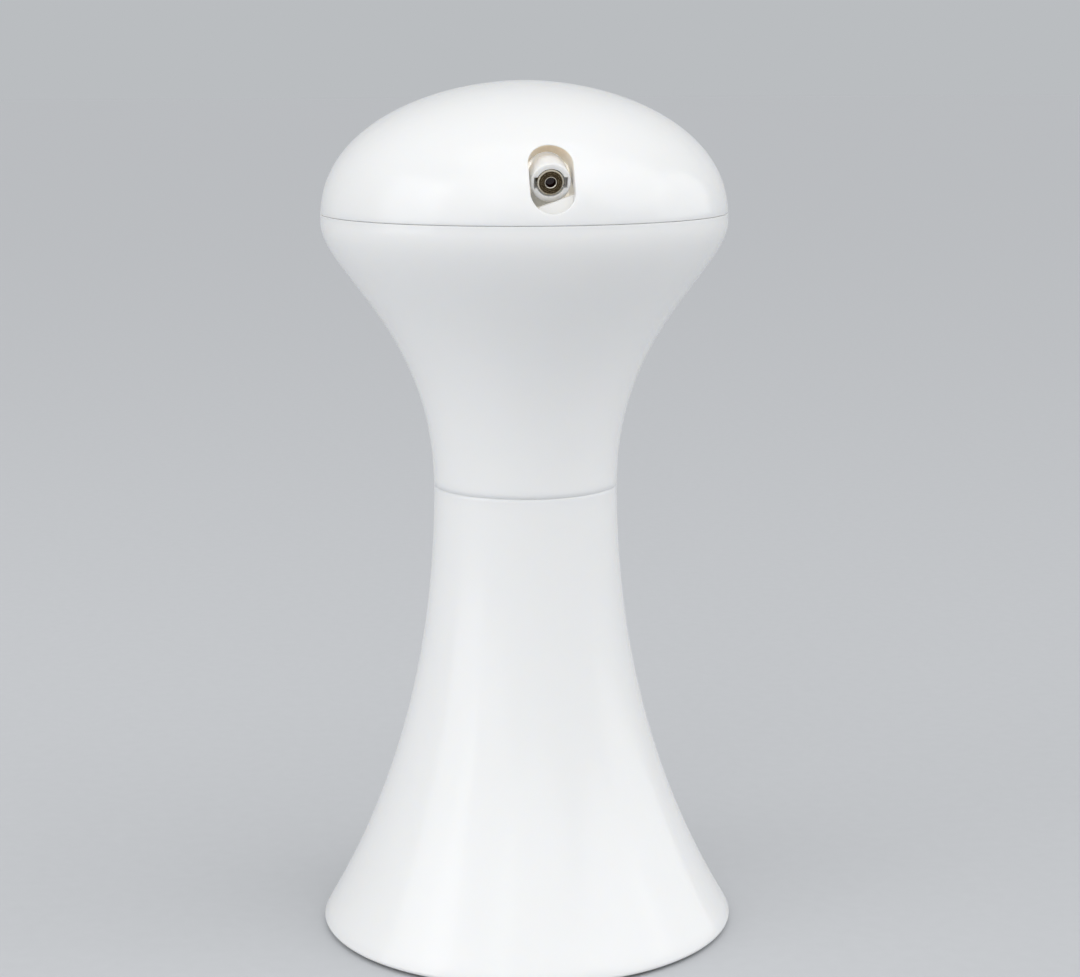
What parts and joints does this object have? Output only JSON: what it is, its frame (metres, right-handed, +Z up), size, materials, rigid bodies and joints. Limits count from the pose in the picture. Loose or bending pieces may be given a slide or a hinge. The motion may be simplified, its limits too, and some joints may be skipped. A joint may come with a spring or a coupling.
{
  "type": "automatic cat laser toy",
  "caption": "Flared white tower whose head turns on the neck by a geared motor and sweeps a small tilting laser over the floor; battery bay in the foot.",
  "frame": {"origin": "centre of the plane that the four rubber feet stand on, under the head's axis", "axes": "+Z up along the head's axis; the laser looks towards -Y and the power button is on +Y"},
  "size_m": [0.1034, 0.1034, 0.2107],
  "materials": {
    "white_abs": "satin gloss",
    "ivory_pom": "satin",
    "black_plastic": "matte",
    "button_plastic": "satin",
    "rubber": "matte",
    "steel": "satin",
    "brass": "satin",
    "circuit_board": "solder resist",
    "ferrite": "matte",
    "copper_rotor": "satin",
    "cell_wrap": "satin",
    "wire_cover": "satin",
    "lens_glass": "clear",
    "light_guide": "frosted"
  },
  "bodies": {
    "base": {"base_shell": "white_abs", "base_plate": "white_abs", "rubber_feet": "rubber", "base_screws": "steel", "battery_cells": "cell_wrap", "contact_springs": "steel", "contact_plates": "steel", "control_board": "circuit_board", "board_parts": "black_plastic", "board_screws": "steel", "tact_switch": "steel", "status_light": "light_guide", "gearbox_frame": "ivory_pom", "gearbox_cover": "ivory_pom", "gearbox_screws": "steel", "cover_screws": "steel", "gear_pins": "steel", "motor_can": "steel", "motor_magnets": "ferrite", "motor_end_cap": "black_plastic", "motor_screws": "steel", "brush_holder": "black_plastic", "brushes": "brass", "neck_bearing": "ivory_pom", "thrust_washer": "steel", "base_wires": "wire_cover"},
    "head": {"spindle": "ivory_pom", "spindle_gear": "ivory_pom", "slip_ring_sleeve": "black_plastic", "slip_rings": "brass", "retaining_clip": "steel", "spindle_screws": "steel", "head_shell": "white_abs", "dome_cover": "white_abs", "head_chassis": "ivory_pom", "chassis_screws": "steel", "laser_yoke": "ivory_pom", "yoke_screws": "steel", "tilt_spring": "steel", "laser_board": "circuit_board", "laser_leads": "wire_cover", "head_wires": "wire_cover"},
    "laser": {"laser_sleeve": "white_abs", "laser_barrel": "brass", "laser_lens": "lens_glass", "laser_diode_board": "circuit_board"},
    "motor_shaft": {"motor_shaft": "steel", "motor_rotor": "copper_rotor", "motor_pinion": "brass"},
    "first_gear": {"first_compound_gear": "ivory_pom"},
    "second_gear": {"second_compound_gear": "ivory_pom"},
    "button": {"power_button": "button_plastic", "switch_plunger": "black_plastic"},
    "door": {"battery_door": "white_abs"}
  },
  "joints": [
    {"name": "head_spin", "type": "hinge", "parent": "base", "child": "head", "pos_m": [0, 0, 0.112], "axis": [0, 0, 1], "continuous": true},
    {"name": "laser_tilt", "type": "hinge", "parent": "head", "child": "laser", "pos_m": [0, -0.03594, 0.19108], "axis": [1, 0, 0], "range_deg": [-8, 8]},
    {"name": "motor_spin", "type": "hinge", "parent": "base", "child": "motor_shaft", "pos_m": [-0.006, 0.01039, 0.06], "axis": [0, 0, 1], "continuous": true},
    {"name": "first_gear_spin", "type": "hinge", "parent": "base", "child": "first_gear", "pos_m": [0.006, 0.01039, 0.07], "axis": [0, 0, 1], "continuous": true},
    {"name": "second_gear_spin", "type": "hinge", "parent": "base", "child": "second_gear", "pos_m": [0.012, 0, 0.07], "axis": [0, 0, 1], "continuous": true},
    {"name": "power_press", "type": "slide", "parent": "base", "child": "button", "axis": [0, -0.9296, -0.3686], "range_m": [0, 0.0008], "stiffness_N_per_m": 600, "springref_m": -0.0005},
    {"name": "battery_door_swing", "type": "hinge", "parent": "base", "child": "door", "pos_m": [-0.02665, 0, 0.0021], "axis": [0, 1, 0], "range_deg": [0, 90]}
  ],
  "couplings": [
    {"joint": "second_gear_spin", "follows": "head_spin", "ratio": -3},
    {"joint": "first_gear_spin", "follows": "head_spin", "ratio": 9},
    {"joint": "motor_spin", "follows": "head_spin", "ratio": -27}
  ]
}
